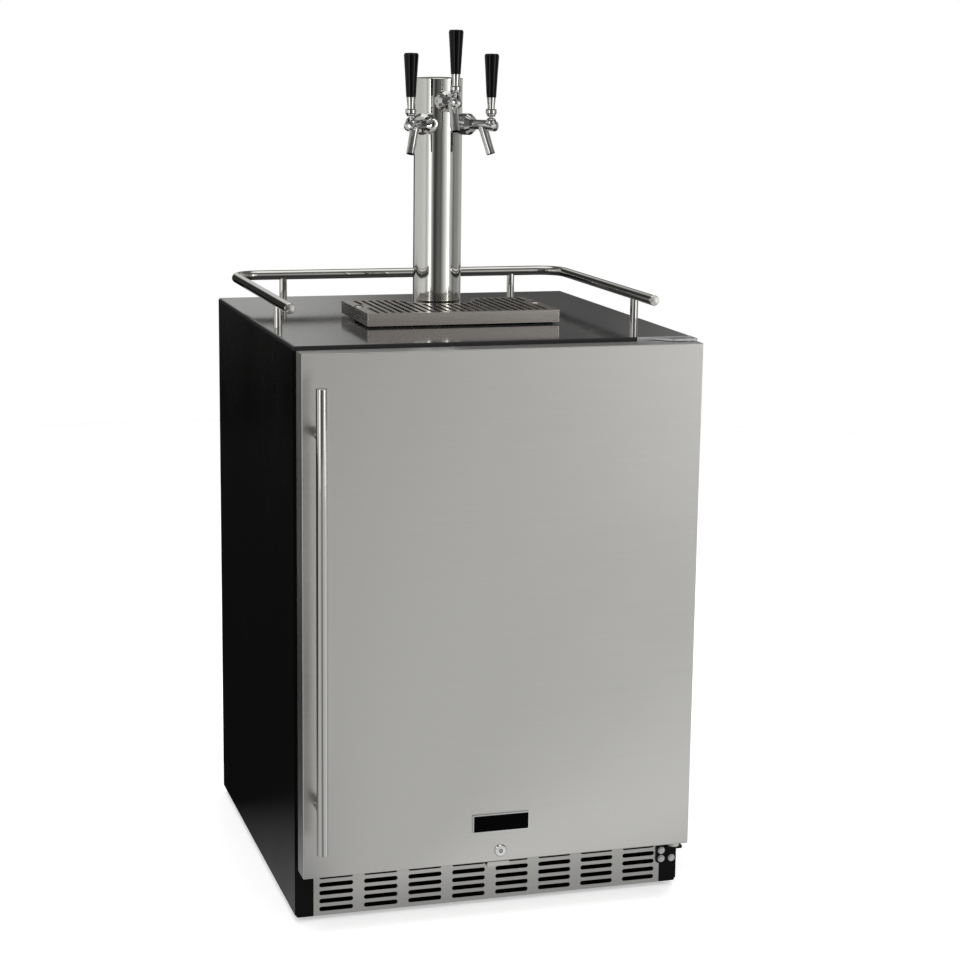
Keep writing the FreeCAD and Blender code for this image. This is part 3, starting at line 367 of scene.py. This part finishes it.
def nameplate_panel():
    """Glossy black enamel with an eased edge, set into the nameplate's recess."""
    low, high = span("nameplate")
    middle = ((low.x + high.x) / 2, (low.z + high.z) / 2)
    half = ((high.x - low.x) / 2 - PANEL_RIM, (high.z - low.z) / 2 - PANEL_RIM)
    bm = bmesh.new()
    rings = []
    for depth, inset in PANEL_PROFILE:
        outline = rounded(middle, (half[0] - inset, half[1] - inset), PANEL_CORNER)
        rings.append([(x, low.y + depth, z) for x, z in outline])
    loft(bm, rings)
    finish_piece("nameplate_panel", bm, "enamel", "door")


def keyhole():
    """The key's slot in the face of the lock's plug: a black moulding with a shallow hollow, its
    black painted shade standing in for the dark of the deep slot.
    """
    face = span("lock_cam")[0].y
    bm = bmesh.new()
    rings = []
    for depth, half in KEYHOLE_PROFILE:
        outline = rounded((0.0, LOCK_HEIGHT), half, half[0] * 0.9)
        rings.append([(x, face + depth, z) for x, z in outline])
    loft(bm, rings)
    # painted shade: the black moulding here stands for the shade down the key slot
    finish_piece("lock_keyhole", bm, "black_plastic", "lock")


def rear_screws():
    """Hexagon-socket screws along the edges of the rear panel."""
    low, high = span("rear_panel")
    bm = bmesh.new()
    bottom, top = low.z + SCREW_EDGE, high.z - SCREW_EDGE
    spots = [(x, bottom + (top - bottom) * share)
             for x in (low.x + SCREW_EDGE, high.x - SCREW_EDGE) for share in SCREW_SHARES]
    spots += [(0.0, bottom), (0.0, top)]
    sixth = math.tau / 6
    turns = [math.tau * i / SCREW_POINTS for i in range(SCREW_POINTS)]
    for x, z in spots:
        first = rng.uniform(0, sixth)
        rings = []
        for radius, out, flats in SCREW_PROFILE:
            ring = []
            for turn in turns:
                reach = radius / math.cos(turn % sixth - sixth / 2) if flats else radius
                ring.append((x + reach * math.cos(turn + first), high.y + out,
                             z + reach * math.sin(turn + first)))
            rings.append(ring)
        loft(bm, rings)
    finish_piece("rear_screws", bm, "zinc", "cabinet")


# ------------------------------------------------------------------ studio

FLOOR_RADIUS, FLOOR_POINTS, FLOOR_DROP, FLOOR_LIFT = 4.2, 96, 0.0005, 0.45
# from y, to y, glow at the first, glow at the second
FLOOR_FADE = (-0.5, 0.3, 0.65, 0.015)
# where the floor's bands meet, and how bright each direction from there is
FLOOR_CENTRE = (-0.235, -0.33)
FLOOR_BANDS = ((-180, 0.9), (-150, 0.95), (-128, 0.8), (-112, 0.35), (-97, 0.3), (-84, 0.95),
               (-70, 1.0), (-48, 0.85), (-36, 1.35), (-22, 1.35), (-10, 0.8), (180, 0.9))
FLOOR_SCALE = 2.0

# direction round the object in degrees (atan2 of y, x) and how bright the studio is there
BANDS = ((-180, 0.66), (-168, 0.72), (-157, 0.5), (-141, 1.3), (-127, 0.25), (-117, 0.03),
         (-108, 0.1), (-98, 0.15), (-88, 0.12), (-79, 0.35), (-69, 0.7), (-53, 1.4), (-37, 0.5),
         (-24, 0.17), (-12, 0.28), (3, 0.29), (23, 0.45), (52, 0.48), (66, 0.35), (70, 0.12),
         (75, 0.12), (78, 0.6), (91, 0.6), (95, 0.03), (110, 0.03),
         (116, 0.6), (138, 0.6), (167, 0.62), (180, 0.66))
BAND_SCALE, BAND_TINT = 1.5, (1, 0.995, 0.975)
# behind the object the bands are dark below the first angle, in degrees, and full at the second
REAR_PITCH, REAR_LOW = (-9, -5), 0.01
# the rear begins where a direction's y is between these
REAR_START = (0.35, 0.6)
# a direction's z where the bands give way to the sky, and where the sky turns bright
SKY_START, SKY_TURN = (0.26, 0.57), (0.85, 0.9)
# the sky's brightness below and above that turn
OVERHEAD = (0.12, 1.1)

EYE = Vector((-0.930, -3.2933, 1.2909))
SENSOR, LENS = 36.0, 82.72875
YAW, PITCH, ROLL = 16.579, 11.221, 0.716

# name, place, aim, width and height, watts, and whether metal sees it
LIGHTS = (
    ("key", (-2.4, -3.6, 3.4), (0, 0, 0.6), (2.2, 2.2), 90, False),
    ("fill", (3.6, -3.0, 2.2), (0, 0, 0.6), (2.0, 3.0), 50, False),
    ("overhead", (0.2, 0.4, 4.0), (0, 0, 0.8), (3.2, 3.2), 90, False),
    ("right_strip", (2.1, -2.6, 1.2), (0, 0, 1.1), (0.35, 2.6), 8, True),
    ("left_strip", (-2.5, -2.0, 1.3), (0, 0, 1.1), (0.35, 2.4), 5, True),
)


def floor():
    """White to the eye, with a soft contact shadow; metal sees bands in front, dim behind."""
    mesh = bpy.data.meshes.new("floor")
    bm = bmesh.new()
    bmesh.ops.create_circle(bm, cap_ends=True, segments=FLOOR_POINTS, radius=FLOOR_RADIUS)
    bm.to_mesh(mesh)
    bm.free()
    disc = bpy.data.objects.new("floor", mesh)
    bpy.context.collection.objects.link(disc)
    disc.location.z = -FLOOR_DROP
    g = Graph("floor_paint")
    tree = g.tree
    grain = g.noise(2.0, 4.0)
    g.wire(Base_Color=g.colours(grain, (0.3, (0.88, 0.88, 0.88)), (0.7, (0.9, 0.9, 0.9))))
    g.set(Roughness=0.9, Emission_Color=(1, 1, 1, 1), Emission_Strength=FLOOR_LIFT)
    coords = tree.nodes.new("ShaderNodeTexCoord")
    split = tree.nodes.new("ShaderNodeSeparateXYZ")
    tree.links.new(coords.outputs["Object"], split.inputs[0])
    seen = tree.nodes.new("ShaderNodeEmission")
    east = shader_math(tree, "SUBTRACT", split.outputs["X"], FLOOR_CENTRE[0])
    north = shader_math(tree, "SUBTRACT", split.outputs["Y"], FLOOR_CENTRE[1])
    angle = shader_math(tree, "ARCTAN2", north, east)
    tree.links.new(direction_ramp(tree, angle, FLOOR_BANDS, FLOOR_SCALE), seen.inputs["Color"])
    fade = shader_range(tree, split.outputs["Y"], *FLOOR_FADE)
    tree.links.new(shader_math(tree, "MULTIPLY", fade, FLOOR_SCALE), seen.inputs["Strength"])
    path = tree.nodes.new("ShaderNodeLightPath")
    choose = tree.nodes.new("ShaderNodeMixShader")
    tree.links.new(path.outputs["Is Camera Ray"], choose.inputs[0])
    tree.links.new(seen.outputs[0], choose.inputs[1])
    tree.links.new(g.shader.outputs[0], choose.inputs[2])
    tree.links.new(choose.outputs[0], tree.nodes["Material Output"].inputs["Surface"])
    disc.data.materials.append(g.material)


def area(name, place, aim, size, power, glossy):
    """A soft rectangular light, never seen by the camera."""
    data = bpy.data.lights.new(name, "AREA")
    data.shape = "RECTANGLE"
    data.size, data.size_y = size
    data.energy = power
    lamp = bpy.data.objects.new(name, data)
    bpy.context.collection.objects.link(lamp)
    lamp.location = place
    lamp.rotation_euler = (Vector(aim) - Vector(place)).to_track_quat("-Z", "Y").to_euler()
    lamp.visible_glossy = glossy
    lamp.visible_camera = False


def world():
    """White to the eye; metal sees soft bright and dark bands, as in a tented studio."""
    studio = bpy.data.worlds.new("studio")
    bpy.context.scene.world = studio
    studio.use_nodes = True
    tree = studio.node_tree
    coords = tree.nodes.new("ShaderNodeTexCoord")
    split = tree.nodes.new("ShaderNodeSeparateXYZ")
    tree.links.new(coords.outputs["Generated"], split.inputs[0])
    height = split.outputs["Z"]
    angle = shader_math(tree, "ARCTAN2", split.outputs["Y"], split.outputs["X"])
    around = direction_ramp(tree, angle, BANDS, BAND_SCALE, BAND_TINT)
    dark_low = shader_range(tree, height, *(math.sin(math.radians(a)) for a in REAR_PITCH),
                            REAR_LOW, 1.0)
    behind = shader_range(tree, split.outputs["Y"], *REAR_START, 0.0, 1.0)
    share = shader_math(tree, "ADD", 1.0, shader_math(
        tree, "MULTIPLY", behind, shader_math(tree, "SUBTRACT", dark_low, 1.0)))
    bands = tree.nodes.new("ShaderNodeVectorMath")
    bands.operation = "SCALE"
    tree.links.new(around, bands.inputs[0])
    tree.links.new(shader_math(tree, "MULTIPLY", share, BAND_SCALE), bands.inputs["Scale"])
    overhead = shader_range(tree, height, *SKY_TURN, *OVERHEAD)
    sky = tree.nodes.new("ShaderNodeMix")
    sky.data_type = "RGBA"
    tree.links.new(shader_range(tree, height, *SKY_START, 0.0, 1.0), sky.inputs[0])
    tree.links.new(bands.outputs[0], sky.inputs[6])
    tree.links.new(overhead, sky.inputs[7])
    path = tree.nodes.new("ShaderNodeLightPath")
    shown = tree.nodes.new("ShaderNodeMix")
    shown.data_type = "RGBA"
    tree.links.new(path.outputs["Is Camera Ray"], shown.inputs[0])
    tree.links.new(sky.outputs[2], shown.inputs[6])
    shown.inputs[7].default_value = (1, 1, 1, 1)
    tree.links.new(shown.outputs[2], tree.nodes["Background"].inputs["Color"])


def camera():
    """Stand the camera at the view's place, turned by yaw, then pitch, then roll."""
    data = bpy.data.cameras.new("camera")
    data.sensor_width = SENSOR
    data.lens = LENS
    data.clip_end = 60
    eye = bpy.data.objects.new("camera", data)
    bpy.context.collection.objects.link(eye)
    yaw, pitch, roll = (math.radians(a) for a in (YAW, PITCH, ROLL))
    ahead = Vector((math.sin(yaw) * math.cos(pitch), math.cos(yaw) * math.cos(pitch),
                    -math.sin(pitch)))
    right = ahead.cross(Vector((0, 0, 1))).normalized()
    up = right.cross(ahead)
    turned_right = math.cos(roll) * right + math.sin(roll) * up
    turned_up = -math.sin(roll) * right + math.cos(roll) * up
    basis = Matrix((turned_right, turned_up, -ahead)).transposed()
    eye.matrix_world = Matrix.Translation(EYE) @ basis.to_4x4()
    bpy.context.scene.camera = eye


wear()
nameplate_panel()
keyhole()
rear_screws()
floor()
world()
camera()
for light in LIGHTS:
    area(*light)
bpy.context.scene.view_settings.view_transform = "Standard"
